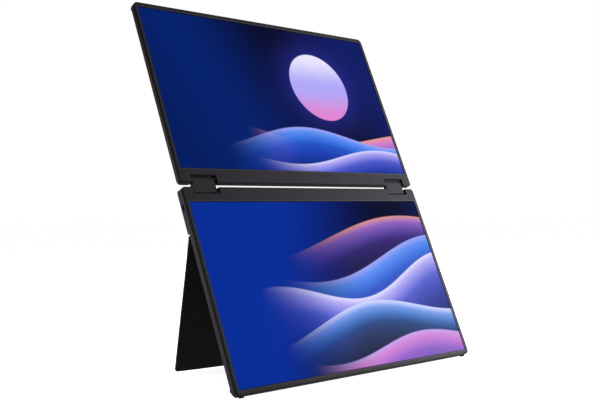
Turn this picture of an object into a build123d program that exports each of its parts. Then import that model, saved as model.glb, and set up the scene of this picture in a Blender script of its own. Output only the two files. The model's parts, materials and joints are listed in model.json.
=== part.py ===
from build123d import *
import os
from math import acos, cos, degrees, pi, radians, sin

# Dual portable monitor: two flat screens joined edge to edge by a geared hinge with two pivots.
# Lengths are in millimetres and angles in degrees.
# Each screen is drawn upright, its glass towards -Y and its hinge edge at the top.
# The upper screen is mirrored about the middle of the gap between the screens.
# The whole is then leaned back and stood on the floor by its feet and its kickstand.

# Screens
screen_width = 309.9
screen_height = 174.3
side_bezel = 4.5
outer_bezel = 5.3
hinge_bezel = 15.5
panel_gap = 4.0
lean = 24.4

# Shells
lower_depth = 7.1
band_depth = 9.3
band_height = 43.8
upper_depth = 6.2
bezel_depth = 2.2
bezel_lip = 0.6
cover_wall = 1.4
lower_floor = 1.0
upper_floor = 0.9
hinge_corner = 3.4
outer_corner = 5.4
edge_round = 0.6
window_border = 0.6
window_corner = 0.8

# Layers behind the window
glass_thickness = 0.7
glass_lap = 1.8
glass_clearance = 0.2
panel_thickness = 1.0
panel_lap = 0.9
spreader_thickness = 0.4

# Hinge blocks and their notches
hinge_inset = 27.6
block_width = 26.4
block_half = 2.3
block_round = 0.9
shell_wall = 0.5
shell_end = 0.8
notch_side_gap = 1.3
lower_notch_depth = 6.6
upper_notch_depth = 8.0
cover_notch_depth = 6.1
notch_wall = 1.2
notch_round = 0.7
pivot_inset = 2.4
pivot_depth = 3.9

# Spindles, gears and friction stack
spindle_radius = 0.75
spindle_hole_clearance = 0.1
running_clearance = 0.03
seat_clearance = 0.01
axial_clearance = 0.1
core_plate_thickness = 1.2
core_plate_clearance = 0.05
gear_width = 3.0
gear_teeth = 12
gear_addendum = 0.16
gear_dedendum = 0.29
tooth_tip_share = 0.24
tooth_root_share = 0.56
idler_pin_radius = 0.45
washer_radius = 1.55
washer_thickness = 0.6
washer_count = 4
nut_thickness = 1.6
nut_flats = 2.8
nut_sides = 6
spindle_tail = 0.6
arm_overlap = 4.0
arm_length = 24.0
arm_reach = 9.0
arm_thickness = 0.8
arm_screw_count = 3

# Screws
screw_radius = 0.8
screw_head_radius = 1.5
screw_head_height = 0.6
screw_bite = 0.6
screw_hole_clearance = 0.1

# Kickstand
stand_thickness = 2.0
stand_gap = 0.2
stand_top_gap = 1.7
stand_end_gap = 0.4
stand_foot_width = 267.0
stand_foot_rise = 2.4
stand_corner = 4.0
strip_length = 130.0
strip_height = 4.0
strip_proud = 0.6
leaf_inset = 64.0
leaf_width = 24.0
leaf_height = 15.0
leaf_thickness = 0.8
leaf_side_gap = 0.2
leaf_screw_count = 2
stand_pin_radius = 0.55
stand_pin_grip = 8.0
knuckle_gap = 0.5

# Rubber feet and pads
foot_radius = 1.6
foot_length = 4.4
foot_inset = 7.9
foot_depth = 4.2
foot_seat = 0.2
foot_root = 0.9
foot_clearance = 0.05
foot_round = 0.5
pad_radius = 2.0
pad_side_inset = 3.0
lower_pad_inset = 6.8
upper_pad_inset = 4.4
pad_proud = 0.3
pad_round = 0.6
upper_pad_height = 2.2

# Boards, sockets, buttons and tripod insert
board_thickness = 0.8
board_wall_gap = 0.8
board_edge = 12.0
main_board_height = 15.0
main_board_end = 30.0
socket_board_width = 40.0
socket_board_height = 30.0
chip_height = 1.0
chip_shares = ((0.45, 0.11), (0.62, 0.07), (0.76, 0.08))
usb_width = 8.94
usb_height = 3.26
usb_wall = 0.3
usb_length = 7.4
usb_back = 0.8
tongue_length = 5.0
tongue_width = 6.7
tongue_thickness = 0.7
socket_drop = 19.1
hdmi_width = 11.2
hdmi_height = 3.2
hdmi_wall = 0.35
hdmi_corner = 0.8
hdmi_tongue_width = 8.2
socket_recess = 0.3
socket_clearance = 0.15
button_length = 6.0
button_thickness = 2.4
button_proud = 0.6
button_travel = 0.4
button_clearance = 0.15
button_flange = 0.7
button_flange_thickness = 0.9
button_stem = 1.0
button_first = 30.0
button_spacing = 8.5
switch_size = 3.2
switch_depth = 3.4
tripod_hole_radius = 2.55
tripod_outer_radius = 4.0
tripod_length = 4.6
tripod_bottom = 0.6
tripod_drop = 24.0
tripod_wall = 1.4
driver_board_width = 120.0
driver_board_height = 12.0
driver_board_edge = 15.0
driver_board_thickness = 0.6
driver_chip_share = 0.2

# Length by which every cut runs past the face that it opens
overrun = 1.0

# Places that follow from the sizes above
panel_width = screen_width + 2 * side_bezel
panel_height = outer_bezel + screen_height + hinge_bezel
half_width = panel_width / 2
screen_middle = outer_bezel + screen_height / 2
gap_middle = panel_height + panel_gap / 2
band_bottom = panel_height - band_height
band_inside = band_depth - lower_floor
upper_inside = upper_depth - upper_floor
wall_inside = half_width - cover_wall
glass_back = bezel_lip + glass_thickness
display_back = glass_back + panel_thickness
block_x = half_width - hinge_inset
block_inner = block_x - block_width / 2
block_outer = block_x + block_width / 2
notch_width = block_width + 2 * notch_side_gap
notch_inner_wall = block_inner - notch_side_gap - notch_wall
pivot_height = panel_height - pivot_inset
pivot_pitch = panel_gap + 2 * pivot_inset
gear_pitch_radius = pivot_pitch / 6
first_plate = block_inner + shell_end + axial_clearance
gear_start = first_plate + core_plate_thickness + axial_clearance
second_plate = gear_start + gear_width + axial_clearance
washer_start = second_plate + core_plate_thickness + axial_clearance
washer_step = washer_thickness + axial_clearance
nut_start = washer_start + washer_count * washer_step
spindle_end = nut_start + nut_thickness + spindle_tail
arm_end = notch_inner_wall - arm_length
stand_radius = stand_thickness / 2
stand_axis_depth = lower_depth + stand_gap + stand_radius
stand_axis_height = band_bottom - stand_top_gap - stand_radius
stand_length = stand_axis_height - stand_end_gap
leaf_x = half_width - leaf_inset
leaf_front = band_inside - leaf_thickness
board_front = band_inside - board_thickness
socket_board_inner = half_width - socket_board_width
floor_level = foot_seat * cos(radians(lean)) - foot_depth * sin(radians(lean)) - foot_radius
stand_axis_level = stand_axis_height * cos(radians(lean)) - stand_axis_depth * sin(radians(lean))
stand_drop = stand_axis_level - floor_level - stand_radius
stand_opening = lean + degrees(acos(stand_drop / (stand_length - stand_radius)))


# Simple solids between named planes
def span(x, y, z):
    """A box between two values on each axis."""
    size = [abs(pair[1] - pair[0]) for pair in (x, y, z)]
    middle = [(pair[0] + pair[1]) / 2 for pair in (x, y, z)]
    return Pos(*middle) * Box(*size)


def slab(sketch, near, far):
    """A sketch in X and Z, thickened from one depth to another."""
    return extrude(Plane.XZ.offset(-near) * sketch, amount=near - far)


def bar(sketch, start, end):
    """A sketch in Y and Z, drawn out along X."""
    return extrude(Plane.YZ.offset(start) * sketch, amount=end - start)


def rod(radius, start, end, depth, height):
    """A round bar along X."""
    return Pos((start + end) / 2, depth, height) * Cylinder(radius, end - start, rotation=(0, 90, 0))


def stud(radius, near, far, x, height):
    """A round bar along Y."""
    return Pos(x, (near + far) / 2, height) * Cylinder(radius, far - near, rotation=(90, 0, 0))


def other_side(piece):
    """The same piece on the left of the monitor."""
    return mirror(piece, about=Plane.YZ)


def other_screen(piece):
    """The same piece on the upper screen."""
    return mirror(piece, about=Plane.XY.offset(gap_middle))


def both(right):
    """A piece on the right and its twin on the left, as one group."""
    return Compound(children=[right, other_side(right)])


# Outlines of the screens, in X and Z
def outline(inset):
    """The screen's outer shape, drawn in by an inset."""
    shape = Rectangle(panel_width - 2 * inset, panel_height - 2 * inset)
    shape = Pos(0, panel_height / 2) * shape
    shape = fillet(shape.vertices().group_by(Axis.Y)[-1], hinge_corner - inset)
    return fillet(shape.vertices().group_by(Axis.Y)[0], outer_corner - inset)


def notches(depth, grow):
    """The two hinge notches of a depth, each grown by a wall."""
    width = notch_width + 2 * grow
    height = depth + grow + overrun
    middle = panel_height + overrun - height / 2
    one = Rectangle(width, height)
    return Pos(block_x, middle) * one + Pos(-block_x, middle) * one


def shell_outline(depth):
    """The screen's outer shape with its rounded hinge notches of a depth."""
    shape = outline(0) - notches(depth, 0)
    reach = block_x + notch_width / 2 + notch_round
    corners = [v for v in shape.vertices() if abs(v.X) < reach and v.Y > panel_height / 2]
    return fillet(corners, notch_round)


def cavity_outline(depth):
    """The hollow inside the walls, clear of the walls round the notches of a depth."""
    return outline(cover_wall) - notches(depth, notch_wall)


def above_band(sketch, height):
    """The part of a sketch above a height."""
    rise = panel_height + overrun - height
    return sketch & Pos(0, height + rise / 2) * Rectangle(panel_width + overrun, rise)


def screen_plate(lap, near, far, corner):
    """A plate that covers the screen and laps past it."""
    shape = RectangleRounded(screen_width + 2 * lap, screen_height + 2 * lap, corner)
    return slab(Pos(0, screen_middle) * shape, near, far)


# Layers that both screens have
def bezel(depth):
    """Front frame with its window, the pocket for the glass and hinge notches of a depth."""
    body = slab(shell_outline(depth), 0, bezel_depth)
    body = fillet(body.faces().sort_by(Axis.Y)[0].edges(), edge_round)
    window = screen_plate(window_border, -overrun, bezel_depth + overrun, window_corner)
    pocket = screen_plate(glass_lap + glass_clearance, bezel_lip, bezel_depth + overrun, window_corner)
    return body - window - pocket


def cover_glass():
    """Glass that lies against the back of the bezel's lip."""
    return screen_plate(glass_lap, bezel_lip, glass_back, window_corner)


def display_panel():
    """Display bonded to the back of the glass."""
    return screen_plate(panel_lap, glass_back, display_back, window_corner)


def heat_spreader():
    """Thin sheet on the back of the display."""
    return screen_plate(0, display_back, display_back + spreader_thickness, window_corner)


def rounded_back(body):
    """A shell with its rear edges rounded."""
    return fillet(body.faces().sort_by(Axis.Y)[-1].edges(), edge_round)


# Hinge pieces, drawn for the right side of the lower screen
def arm_screw_places():
    """Where the screws stand on a hinge arm's leaf."""
    height = pivot_height - (arm_reach + spindle_radius) / 2
    step = arm_length / arm_screw_count
    return [(arm_end + step * (i + 1 / 2), height) for i in range(arm_screw_count)]


def hinge_arm():
    """Spindle of one pivot, flattened into the leaf that is screwed to the screen."""
    spindle = rod(spindle_radius, notch_inner_wall - arm_overlap, spindle_end, pivot_depth, pivot_height)
    spindle -= span(
        (notch_inner_wall - arm_overlap - overrun, notch_inner_wall),
        (0, band_depth),
        (pivot_height, panel_height),
    )
    leaf = span(
        (arm_end, notch_inner_wall),
        (upper_inside - arm_thickness, upper_inside),
        (pivot_height - arm_reach, pivot_height - spindle_radius / 2),
    )
    body = spindle + leaf
    for x, height in arm_screw_places():
        body -= stud(screw_radius + screw_hole_clearance, 0, band_depth, x, height)
    return body


def screw(front, grip, x, height):
    """Pan head screw whose head bears on a face and whose end bites in the shell."""
    head = stud(screw_head_radius, front - screw_head_height, front, x, height)
    return head + stud(screw_radius, front, front + grip + screw_bite, x, height)


def screw_hole(floor, x, height):
    """Blind hole for a screw's end, from the inner face of a shell's floor."""
    deep = floor + screw_bite + axial_clearance
    return stud(screw_radius + screw_hole_clearance, floor, deep, x, height)


def arm_screws():
    """Screws through one hinge arm."""
    front = upper_inside - arm_thickness
    return Compound(children=[screw(front, arm_thickness, *place) for place in arm_screw_places()])


def gear_outline(phase):
    """Spur gear with straight flanked teeth; the phase is in tooth pitches."""
    pitch_angle = 2 * pi / gear_teeth
    tip = gear_pitch_radius + gear_addendum
    root = gear_pitch_radius - gear_dedendum
    rising = [(root, -tooth_root_share), (tip, -tooth_tip_share)]
    falling = [(tip, tooth_tip_share), (root, tooth_root_share)]
    points = []
    for tooth in range(gear_teeth):
        for radius, share in rising + falling:
            angle = pi / 2 + (tooth + phase + share / 2) * pitch_angle
            points.append((radius * cos(angle), radius * sin(angle)))
    return Polygon(*points, align=None)


def train_height(step):
    """Height of one gear centre: the lower spindle, two idlers and the upper spindle."""
    return pivot_height + step * pivot_pitch / 3


def gear(step, bore):
    """One gear of the train, each half a tooth out of step with the last."""
    wheel = gear_outline((step % 2) / 2) - Circle(bore)
    return bar(Pos(pivot_depth, train_height(step)) * wheel, gear_start, gear_start + gear_width)


def washers():
    """Friction washers on one spindle."""
    stack = []
    for i in range(washer_count):
        start = washer_start + i * washer_step
        disc = rod(washer_radius, start, start + washer_thickness, pivot_depth, pivot_height)
        bore = rod(
            spindle_radius + seat_clearance,
            start - overrun,
            start + washer_thickness + overrun,
            pivot_depth,
            pivot_height,
        )
        stack.append(disc - bore)
    return Compound(children=stack)


def spindle_nut():
    """Hexagon nut that holds the washers on one spindle."""
    hexagon = RegularPolygon(nut_flats / 2, nut_sides, major_radius=False)
    shape = hexagon - Circle(spindle_radius + seat_clearance)
    return bar(Pos(pivot_depth, pivot_height) * shape, nut_start, nut_start + nut_thickness)


def block_section(inset, corner):
    """Section of a hinge block in Y and Z, drawn in by an inset."""
    depth = 2 * (block_half - inset)
    return Pos(pivot_depth, gap_middle) * RectangleRounded(depth, pivot_pitch + depth, corner)


def hinge_block():
    """Hollow block round the gear train, with holes for the two spindles."""
    body = bar(block_section(0, block_round), block_inner, block_outer)
    ends = body.faces().group_by(Axis.X)
    body = fillet(ends[0].edges() + ends[-1].edges(), edge_round)
    hollow = block_section(shell_wall, block_round - shell_wall)
    body -= bar(hollow, block_inner + shell_end, block_outer - shell_end)
    hole = spindle_radius + spindle_hole_clearance
    for step in (0, 3):
        ends = (block_inner - overrun, block_inner + shell_end + overrun)
        body -= rod(hole, *ends, pivot_depth, train_height(step))
    return body


def block_half_shell(near, far):
    """The part of a hinge block between two depths."""
    reach = (block_inner - overrun, block_outer + overrun)
    rise = (gap_middle - pivot_pitch, gap_middle + pivot_pitch)
    return hinge_block() & span(reach, (near, far), rise)


def core_plate(start):
    """Steel plate in a hinge block with two spindle bores and two idler pin holes."""
    inset = shell_wall + core_plate_clearance
    body = bar(block_section(inset, block_round - shell_wall), start, start + core_plate_thickness)
    bores = (
        spindle_radius + running_clearance,
        idler_pin_radius + seat_clearance,
        idler_pin_radius + seat_clearance,
        spindle_radius + running_clearance,
    )
    for step, bore in enumerate(bores):
        ends = (start - overrun, start + core_plate_thickness + overrun)
        body -= rod(bore, *ends, pivot_depth, train_height(step))
    return body


def idler_pin(step):
    """Pin of one idler gear, held in both core plates."""
    ends = (first_plate, second_plate + core_plate_thickness)
    return rod(idler_pin_radius, *ends, pivot_depth, train_height(step))


# Kickstand, drawn hanging from its axis at the origin
def kickstand_outline():
    """Plate as wide as the screen at its top, narrower at its slightly bowed foot."""
    foot = stand_foot_width / 2
    end = -(stand_length - strip_proud)
    corner = end + stand_foot_rise
    edges = [
        Line((-half_width, 0), (half_width, 0)),
        Line((half_width, 0), (foot, corner)),
        ThreePointArc((foot, corner), (0, end), (-foot, corner)),
        Line((-foot, corner), (-half_width, 0)),
    ]
    shape = make_face(edges)
    return fillet([v for v in shape.vertices() if v.Y < end / 2], stand_corner)


def kickstand_plate():
    """Plate with a round top edge, gaps for the two hinge leaves and a seat for the rubber strip."""
    body = slab(kickstand_outline(), -stand_radius, stand_radius)
    faces = body.faces().filter_by(Axis.Y)
    body = fillet([e for e in faces.edges() if e.center().Z < -stand_radius], edge_round)
    body += rod(stand_radius, -half_width, half_width, 0, 0)
    seat = -(stand_length - strip_height)
    depth = (-stand_thickness, stand_thickness)
    body -= span((-strip_length / 2, strip_length / 2), depth, (-stand_length - overrun, seat))
    for side in (-1, 1):
        reach = leaf_width / 2 + leaf_side_gap
        middle = side * leaf_x
        body -= span((middle - reach, middle + reach), depth, (-stand_radius - knuckle_gap, stand_thickness))
        grip = reach + stand_pin_grip + axial_clearance
        body -= rod(stand_pin_radius + seat_clearance, middle - grip, middle + grip, 0, 0)
    return body


def kickstand_pin():
    """Hinge pin held in the plate on both sides of one leaf."""
    grip = leaf_width / 2 + leaf_side_gap + stand_pin_grip
    return rod(stand_pin_radius, leaf_x - grip, leaf_x + grip, 0, 0)


def foot_strip():
    """Rubber strip with a round nose along the plate's foot."""
    half = strip_length / 2
    nose = -(stand_length - stand_radius)
    seat = -(stand_length - strip_height)
    body = span((-half, half), (-stand_radius, stand_radius), (nose, seat))
    return body + rod(stand_radius, -half, half, 0, nose)


def opened(piece):
    """A kickstand piece, swung out to where its strip meets the floor."""
    return Pos(0, stand_axis_depth, stand_axis_height) * Rot(stand_opening, 0, 0) * piece


def leaf_screw_places():
    """Where the screws stand on a kickstand leaf."""
    height = band_bottom + (leaf_height + cover_wall) / 2
    step = leaf_width / leaf_screw_count
    return [(leaf_x - leaf_width / 2 + step * (i + 1 / 2), height) for i in range(leaf_screw_count)]


def kickstand_leaf():
    """Friction leaf rolled round the kickstand's pin and screwed inside the thick band."""
    sides = (leaf_x - leaf_width / 2, leaf_x + leaf_width / 2)
    body = rod(stand_radius, *sides, stand_axis_depth, stand_axis_height)
    body += span(sides, (leaf_front, band_inside), (stand_axis_height, band_bottom + leaf_height))
    hole = stand_pin_radius + running_clearance
    body -= rod(hole, sides[0] - overrun, sides[1] + overrun, stand_axis_depth, stand_axis_height)
    for x, height in leaf_screw_places():
        body -= stud(screw_radius + screw_hole_clearance, 0, band_depth, x, height)
    return body


def leaf_screws():
    """Screws through one kickstand leaf."""
    return Compound(children=[screw(leaf_front, leaf_thickness, *place) for place in leaf_screw_places()])


# Feet and pads
def edge_foot(clearance):
    """Round rubber foot let into the bottom edge."""
    middle = half_width - foot_inset
    half = foot_length / 2 + clearance
    nose = rod(foot_radius + clearance, middle - half, middle + half, foot_depth, foot_seat)
    ends = nose.faces().filter_by(GeomType.PLANE)
    nose = fillet(ends.edges(), foot_round)
    room = foot_radius + overrun
    return nose & span(
        (middle - half - overrun, middle + half + overrun),
        (foot_depth - room, foot_depth + room),
        (foot_seat - room, foot_root),
    )


def pad(inset, near, far):
    """Round rubber pad on the back, at an inset from the outer edge."""
    body = stud(pad_radius, near, far, half_width - pad_side_inset, inset)
    return fillet(body.edges().group_by(Axis.Y)[-1], pad_round)


# Boards, sockets and buttons, in the thick band
def socket_height(drop):
    """Height of a feature given by its distance below the hinge edge."""
    return panel_height - drop


def corner_places(x, z):
    """Four screw places in the corners of a board."""
    edge = screw_head_radius + screw_hole_clearance
    return [(a, b) for a in (x[0] + edge, x[1] - edge) for b in (z[0] + edge, z[1] - edge)]


board_top = socket_height(board_edge)
main_board_x = (-wall_inside + board_wall_gap, -main_board_end)
main_board_z = (board_top - main_board_height, board_top)
socket_board_z = (board_top - socket_board_height, board_top)
button_room = axial_clearance + button_flange_thickness + button_travel
key_board_x = (socket_board_inner, wall_inside - button_room - board_wall_gap)
driver_board_x = (-driver_board_width / 2, driver_board_width / 2)
driver_board_z = (
    socket_height(driver_board_edge) - driver_board_height,
    socket_height(driver_board_edge),
)
socket_screw_place = (
    -socket_board_inner - screw_head_radius - screw_hole_clearance,
    socket_board_z[0] + 2 * screw_head_radius,
)
main_screw_places = corner_places(main_board_x, main_board_z)[2:] + [socket_screw_place]
key_screw_places = corner_places(key_board_x, socket_board_z)[:2]
driver_screw_places = corner_places(driver_board_x, driver_board_z)


def with_holes(board, places):
    """A board with a clearance hole at each screw."""
    for x, height in places:
        board -= stud(screw_radius + screw_hole_clearance, 0, band_depth, x, height)
    return board


def main_board():
    """Main circuit board with its chips, wider where it carries the small socket."""
    depth = (board_front, band_inside)
    body = span(main_board_x, depth, main_board_z)
    body += span((main_board_x[0], -socket_board_inner), depth, socket_board_z)
    middle = (main_board_z[0] + main_board_z[1]) / 2
    room = main_board_x[1] - main_board_x[0]
    for place_share, size_share in chip_shares:
        x = main_board_x[0] + place_share * room
        half = size_share * room / 2
        rise = (middle - half, middle + half)
        body += span((x - half, x + half), (board_front - chip_height, board_front), rise)
    return with_holes(body, main_screw_places)


def key_board():
    """Small circuit board for the buttons and the video socket."""
    return with_holes(span(key_board_x, (board_front, band_inside), socket_board_z), key_screw_places)


def driver_board():
    """Circuit board of the upper screen with its driver chip."""
    depth = (upper_inside - driver_board_thickness, upper_inside)
    body = span(driver_board_x, depth, driver_board_z)
    half = driver_chip_share * driver_board_width / 2
    middle = (driver_board_z[0] + driver_board_z[1]) / 2
    rise = driver_board_height / 4
    chip_front = depth[0] - driver_board_thickness
    body += span((-half, half), (chip_front, depth[0]), (middle - rise, middle + rise))
    return with_holes(body, driver_screw_places)


def board_screws(front, grip, places):
    """Screws that hold a board down."""
    return [screw(front, grip, *place) for place in places]


def usb_outline(inset):
    """Long round section of a small socket in Y and Z."""
    return SlotOverall(usb_width - 2 * inset, usb_height - 2 * inset, rotation=90)


def hdmi_outline(inset):
    """Rounded box section of the video socket in Y and Z."""
    return RectangleRounded(hdmi_height - 2 * inset, hdmi_width - 2 * inset, hdmi_corner - inset)


def socket(section, wall):
    """A socket's metal shell with its back wall, mouth at x = 0, running to +X."""
    return bar(section(0), 0, usb_length) - bar(section(wall), -overrun, usb_length - usb_back)


def tongue(width):
    """Contact tongue that stands on the back wall of a socket."""
    back = usb_length - usb_back
    return bar(Rectangle(tongue_thickness, width), back - tongue_length, back)


def usb_place():
    """Middle of the small socket's mouth on the left wall."""
    return Pos(-half_width + socket_recess, board_front - usb_height / 2, socket_height(socket_drop))


def hdmi_place():
    """Middle of the video socket's mouth on the right wall."""
    return Pos(half_width - socket_recess, board_front - hdmi_height / 2, socket_height(socket_drop))


def socket_tongues():
    """The contact tongues of the two sockets."""
    left = usb_place() * tongue(tongue_width)
    right = hdmi_place() * other_side(tongue(hdmi_tongue_width))
    return Compound(children=[left, right])


def button_place(index):
    """Middle of a button on the right wall's outer face."""
    height = socket_height(button_first + index * button_spacing)
    return Pos(half_width, board_front - switch_size / 2, height)


def button_outline(grow):
    """Long round section of a button in Y and Z."""
    return SlotOverall(button_length + 2 * grow, button_thickness + 2 * grow, rotation=90)


def button(index):
    """Button cap with the flange that keeps it in the wall and the stem that meets its switch."""
    flange_back = -cover_wall - axial_clearance - button_flange_thickness
    body = bar(button_outline(0), -cover_wall - axial_clearance, button_proud)
    body = fillet(body.faces().sort_by(Axis.X)[-1].edges(), edge_round)
    body += bar(button_outline(button_flange), flange_back, -cover_wall - axial_clearance)
    body += bar(Circle(button_thickness / 2), flange_back - button_stem, flange_back)
    return button_place(index) * body


def key_switch(index):
    """Switch on the key board behind a button, just past the end of the button's travel."""
    stem_end = cover_wall + axial_clearance + button_flange_thickness + button_stem
    front = -stem_end - button_travel - axial_clearance
    half = switch_size / 2
    return button_place(index) * span((front - switch_depth, front), (-half, half), (-half, half))


def tripod_insert():
    """Brass insert with a blind tripod thread, drawn as its minor bore."""
    height = socket_height(tripod_drop)
    front = band_depth - tripod_length - tripod_bottom
    body = stud(tripod_outer_radius, front, band_depth, 0, height)
    return body - stud(tripod_hole_radius, band_depth - tripod_length, band_depth + overrun, 0, height)


# Rear covers
def lower_rear_cover():
    """Rear shell of the lower screen, stepped out in a thick band at the hinge edge."""
    shape = shell_outline(cover_notch_depth)
    hollow = cavity_outline(lower_notch_depth)
    body = rounded_back(slab(shape, bezel_depth, lower_depth))
    body += rounded_back(slab(above_band(shape, band_bottom), bezel_depth, band_depth))
    body -= slab(hollow, bezel_depth - overrun, lower_depth - lower_floor)
    band_hollow = above_band(hollow, band_bottom + cover_wall)
    body -= slab(band_hollow, bezel_depth - overrun, band_inside)

    tripod_height = socket_height(tripod_drop)
    tripod_front = band_depth - tripod_length - tripod_bottom
    body += stud(tripod_outer_radius + tripod_wall, tripod_front, band_inside, 0, tripod_height)
    body -= stud(
        tripod_outer_radius + seat_clearance, tripod_front - overrun, band_depth + overrun, 0, tripod_height
    )

    for side in (1, -1):
        pad_x = (side * arm_end, side * notch_inner_wall)
        pad_z = (pivot_height - arm_reach, panel_height - cover_wall)
        body += span(pad_x, (upper_inside, band_inside), pad_z)
        for x, height in arm_screw_places():
            body -= screw_hole(upper_inside, side * x, height)
        for x, height in leaf_screw_places():
            body -= screw_hole(band_inside, side * x, height)
        leaf_half = leaf_width / 2 + leaf_side_gap
        slot_x = (side * leaf_x - leaf_half, side * leaf_x + leaf_half)
        slot_y = (leaf_front - leaf_side_gap, band_inside)
        body -= span(slot_x, slot_y, (band_bottom - overrun, band_bottom + cover_wall + overrun))
    body -= spindle_holes()

    for x, height in main_screw_places + key_screw_places:
        body -= screw_hole(band_inside, x, height)
    for index in (0, 1):
        slot = bar(button_outline(button_clearance), -cover_wall - overrun, overrun)
        body -= button_place(index) * slot
    body -= usb_place() * bar(usb_outline(-socket_clearance), -cover_wall, cover_wall + overrun)
    body -= hdmi_place() * bar(hdmi_outline(-socket_clearance), -cover_wall - overrun, cover_wall)
    pocket = edge_foot(foot_clearance)
    return body - pocket - other_side(pocket)


def spindle_holes():
    """Holes for the spindles through the inner walls of both notches."""
    hole = spindle_radius + spindle_hole_clearance
    ends = (notch_inner_wall - arm_overlap, block_inner)
    return both(rod(hole, *ends, pivot_depth, pivot_height))


def upper_rear_cover():
    """Rear shell of the upper screen, one depth all over, with a ledge behind the top of each notch."""
    body = rounded_back(slab(shell_outline(cover_notch_depth), bezel_depth, upper_depth))
    body -= slab(cavity_outline(upper_notch_depth), bezel_depth - overrun, upper_inside)
    for side in (1, -1):
        for x, height in arm_screw_places():
            body -= screw_hole(upper_inside, side * x, height)
    for x, height in driver_screw_places:
        body -= screw_hole(upper_inside, x, height)
    return body - spindle_holes()


# Nodes of the lower screen
parts = {
    "lower_bezel": bezel(lower_notch_depth),
    "lower_cover_glass": cover_glass(),
    "lower_display_panel": display_panel(),
    "lower_heat_spreader": heat_spreader(),
    "lower_rear_cover": lower_rear_cover(),
    "main_board": main_board(),
    "key_board": key_board(),
    "usb_c_port": usb_place() * socket(usb_outline, usb_wall),
    "mini_hdmi_port": hdmi_place() * other_side(socket(hdmi_outline, hdmi_wall)),
    "socket_tongues": socket_tongues(),
    "power_button": button(0),
    "menu_button": button(1),
    "power_switch": key_switch(0),
    "menu_switch": key_switch(1),
    "tripod_insert": tripod_insert(),
    "lower_friction_washers": both(washers()),
    "lower_shaft_nuts": both(spindle_nut()),
    "lower_arm_screws": both(arm_screws()),
    "board_screws": Compound(
        children=board_screws(board_front, board_thickness, main_screw_places + key_screw_places)
    ),
    "kickstand_leaf_screws": both(leaf_screws()),
}

# Nodes of the hinge link
parts["hinge_core_plates"] = both(Compound(children=[core_plate(first_plate), core_plate(second_plate)]))
parts["idler_pins"] = both(Compound(children=[idler_pin(1), idler_pin(2)]))
parts["lower_idler_gears"] = both(gear(1, idler_pin_radius + running_clearance))
parts["upper_idler_gears"] = both(gear(2, idler_pin_radius + running_clearance))

# Nodes that come in pairs, drawn for the right side
pairs = {
    "edge_foot": edge_foot(0),
    "lower_bumper": pad(lower_pad_inset, lower_depth, band_depth + pad_proud),
    "upper_bumper": other_screen(pad(upper_pad_inset, upper_depth, upper_depth + upper_pad_height)),
    "lower_hinge_arm": hinge_arm(),
    "upper_hinge_arm": other_screen(hinge_arm()),
    "lower_shaft_gear": gear(0, spindle_radius + seat_clearance),
    "upper_shaft_gear": gear(3, spindle_radius + seat_clearance),
    "hinge_front_shell": block_half_shell(0, pivot_depth),
    "hinge_rear_shell": block_half_shell(pivot_depth, band_depth),
    "kickstand_leaf": kickstand_leaf(),
    "kickstand_pin": opened(kickstand_pin()),
}
for name, piece in pairs.items():
    parts["right_" + name] = piece
    parts["left_" + name] = other_side(piece)

# Nodes of the upper screen
upper = {
    "upper_bezel": bezel(upper_notch_depth),
    "upper_cover_glass": cover_glass(),
    "upper_display_panel": display_panel(),
    "upper_heat_spreader": heat_spreader(),
    "upper_rear_cover": upper_rear_cover(),
    "upper_driver_board": driver_board(),
    "upper_board_screws": Compound(
        children=board_screws(
            upper_inside - driver_board_thickness, driver_board_thickness, driver_screw_places
        )
    ),
    "upper_friction_washers": both(washers()),
    "upper_shaft_nuts": both(spindle_nut()),
    "upper_arm_screws": both(arm_screws()),
}
for name, piece in upper.items():
    parts[name] = other_screen(piece)

# Nodes of the kickstand
parts["kickstand_plate"] = opened(kickstand_plate())
parts["kickstand_foot_strip"] = opened(foot_strip())

# The whole leans back and stands on the floor, with the origin under the middle of its box
leaned = {name: Rot(-lean, 0, 0) * piece for name, piece in parts.items()}
boxes = [piece.bounding_box() for piece in leaned.values()]
front = min(box.min.Y for box in boxes)
back = max(box.max.Y for box in boxes)
standing = Pos(0, -(front + back) / 2, -floor_level)

os.makedirs("parts", exist_ok=True)
for name, piece in leaned.items():
    export_step(standing * piece, f"parts/{name}.step")
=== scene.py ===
"""Looks of the dual portable monitor.

Finishes, small detail pieces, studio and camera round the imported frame.
"""

import json
import logging
import math
from abc import ABC, abstractmethod
from dataclasses import dataclass, field
from enum import Enum

import bpy
from mathutils import Matrix, Vector


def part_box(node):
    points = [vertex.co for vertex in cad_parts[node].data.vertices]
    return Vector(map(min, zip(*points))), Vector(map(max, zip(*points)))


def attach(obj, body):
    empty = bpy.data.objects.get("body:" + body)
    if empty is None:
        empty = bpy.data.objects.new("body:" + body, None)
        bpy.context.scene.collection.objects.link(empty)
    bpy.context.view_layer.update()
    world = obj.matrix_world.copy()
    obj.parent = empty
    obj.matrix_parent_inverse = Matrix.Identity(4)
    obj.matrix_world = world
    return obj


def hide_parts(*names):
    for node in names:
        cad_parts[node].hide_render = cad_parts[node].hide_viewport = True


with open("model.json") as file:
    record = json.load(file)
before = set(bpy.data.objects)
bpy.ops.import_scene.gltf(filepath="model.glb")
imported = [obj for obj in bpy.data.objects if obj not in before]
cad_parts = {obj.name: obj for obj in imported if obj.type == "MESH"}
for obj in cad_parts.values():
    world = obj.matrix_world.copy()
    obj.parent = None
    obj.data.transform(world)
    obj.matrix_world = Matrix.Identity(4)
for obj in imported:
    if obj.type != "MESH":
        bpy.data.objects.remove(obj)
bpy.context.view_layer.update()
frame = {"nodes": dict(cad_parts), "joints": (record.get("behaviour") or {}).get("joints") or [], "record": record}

LOG = logging.getLogger("monitor")
MM = 0.001
QUARTER_TURN = math.pi / 2
MIDDLE = 0.5

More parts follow.
